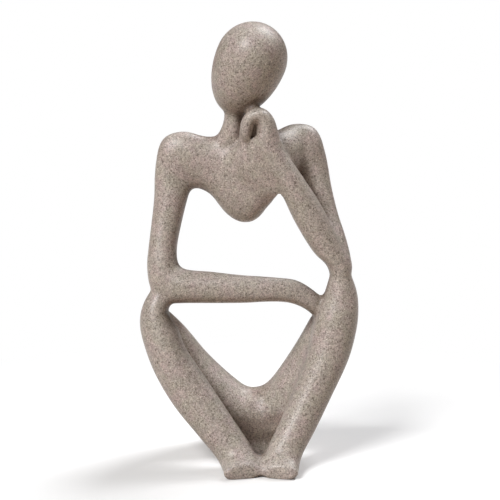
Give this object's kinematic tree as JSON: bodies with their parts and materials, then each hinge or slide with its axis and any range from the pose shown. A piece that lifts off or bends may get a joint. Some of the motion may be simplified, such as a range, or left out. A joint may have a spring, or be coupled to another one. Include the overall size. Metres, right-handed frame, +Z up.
{
  "type": "seated thinker figurine",
  "caption": "Abstract seated figure in cast sandstone-effect resin, faceless egg head on a fist, one arm laid across the knees.",
  "frame": {"origin": "on the floor, under the middle of the figure's outline", "axes": "+Z up, -Y towards the viewer that the figure faces, +X to that viewer's right, where its left knee is"},
  "size_m": [0.1296, 0.0956, 0.2597],
  "materials": {
    "sandstone_resin": "matt, fine speckled sandstone effect",
    "dowel_steel": "plain drawn rod",
    "pad_felt": "dark felt"
  },
  "bodies": {
    "root": {"head": "sandstone_resin", "torso": "sandstone_resin", "right_arm": "sandstone_resin", "left_arm": "sandstone_resin", "legs": "sandstone_resin", "neck_dowel": "dowel_steel", "right_shoulder_dowel": "dowel_steel", "left_shoulder_dowel": "dowel_steel", "right_elbow_dowel": "dowel_steel", "left_elbow_dowel": "dowel_steel", "seat_pad": "pad_felt", "right_foot_pad": "pad_felt", "left_foot_pad": "pad_felt"}
  },
  "joints": []
}
